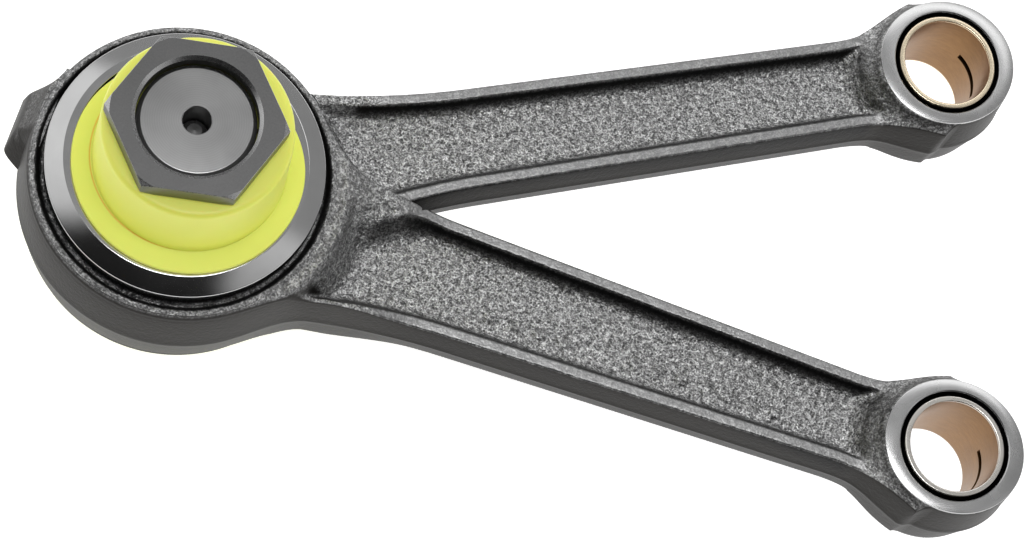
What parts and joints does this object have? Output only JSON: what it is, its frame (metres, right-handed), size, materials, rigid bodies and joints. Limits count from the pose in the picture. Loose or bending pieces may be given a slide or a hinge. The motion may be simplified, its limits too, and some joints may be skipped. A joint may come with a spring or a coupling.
{
  "type": "connecting rod set",
  "caption": "Knife-and-fork connecting rods on a shared crank pin, with caged rollers, bronze wrist-pin bushes, plastic shipping caps and thin hexagon nuts.",
  "frame": {"origin": "on the crank-pin axis at the mid plane of both rods", "axes": "+X from the crank pin along the fork rod to its wrist pin, +Z along the crank pin towards the side with the oil hole, +Y towards the blade rod"},
  "size_m": [0.2315, 0.1384, 0.09],
  "materials": {
    "forged_steel": "shot-blasted forging, satin grey",
    "ground_steel": "ground and turned bright steel",
    "dark_steel": "dark satin phosphated steel",
    "blued_steel": "dark steel",
    "bronze": "turned bronze",
    "yellow_plastic": "moulded yellow-green plastic"
  },
  "bodies": {
    "fork": {"fork_rod": "forged_steel", "fork_race_upper": "ground_steel", "fork_race_lower": "ground_steel", "fork_wrist_bush": "bronze"},
    "blade": {"blade_rod": "forged_steel", "blade_race": "ground_steel", "blade_wrist_bush": "bronze"},
    "crank_pin": {"crank_pin": "ground_steel", "oil_plug": "ground_steel", "crank_pin_nut_upper": "dark_steel", "crank_pin_nut_lower": "dark_steel", "shipping_cap_upper": "yellow_plastic", "shipping_cap_lower": "yellow_plastic"},
    "cage_upper": {"roller_cage_upper": "blued_steel", "roller_upper_01": "ground_steel", "roller_upper_02": "ground_steel", "roller_upper_03": "ground_steel", "roller_upper_04": "ground_steel", "roller_upper_05": "ground_steel", "roller_upper_06": "ground_steel", "roller_upper_07": "ground_steel", "roller_upper_08": "ground_steel", "roller_upper_09": "ground_steel", "roller_upper_10": "ground_steel", "roller_upper_11": "ground_steel", "roller_upper_12": "ground_steel", "roller_upper_13": "ground_steel", "roller_upper_14": "ground_steel"},
    "cage_middle": {"roller_cage_middle": "blued_steel", "roller_middle_01": "ground_steel", "roller_middle_02": "ground_steel", "roller_middle_03": "ground_steel", "roller_middle_04": "ground_steel", "roller_middle_05": "ground_steel", "roller_middle_06": "ground_steel", "roller_middle_07": "ground_steel", "roller_middle_08": "ground_steel", "roller_middle_09": "ground_steel", "roller_middle_10": "ground_steel", "roller_middle_11": "ground_steel", "roller_middle_12": "ground_steel", "roller_middle_13": "ground_steel", "roller_middle_14": "ground_steel"},
    "cage_lower": {"roller_cage_lower": "blued_steel", "roller_lower_01": "ground_steel", "roller_lower_02": "ground_steel", "roller_lower_03": "ground_steel", "roller_lower_04": "ground_steel", "roller_lower_05": "ground_steel", "roller_lower_06": "ground_steel", "roller_lower_07": "ground_steel", "roller_lower_08": "ground_steel", "roller_lower_09": "ground_steel", "roller_lower_10": "ground_steel", "roller_lower_11": "ground_steel", "roller_lower_12": "ground_steel", "roller_lower_13": "ground_steel", "roller_lower_14": "ground_steel"}
  },
  "joints": [
    {"name": "blade_swing", "type": "hinge", "parent": "fork", "child": "blade", "pos_m": [0, 0, 0], "axis": [0, 0, 1], "range_deg": [-1, 70]},
    {"name": "pin_spin", "type": "hinge", "parent": "fork", "child": "crank_pin", "pos_m": [0, 0, 0], "axis": [0, 0, 1], "continuous": true},
    {"name": "cage_upper_orbit", "type": "hinge", "parent": "fork", "child": "cage_upper", "pos_m": [0, 0, 0], "axis": [0, 0, 1], "continuous": true},
    {"name": "cage_middle_orbit", "type": "hinge", "parent": "blade", "child": "cage_middle", "pos_m": [0, 0, 0], "axis": [0, 0, 1], "continuous": true},
    {"name": "cage_lower_orbit", "type": "hinge", "parent": "fork", "child": "cage_lower", "pos_m": [0, 0, 0], "axis": [0, 0, 1], "continuous": true}
  ],
  "couplings": [
    {"joint": "cage_upper_orbit", "follows": "pin_spin", "ratio": 0.4317},
    {"joint": "cage_middle_orbit", "follows": "pin_spin", "ratio": 0.4317},
    {"joint": "cage_lower_orbit", "follows": "pin_spin", "ratio": 0.4317}
  ]
}
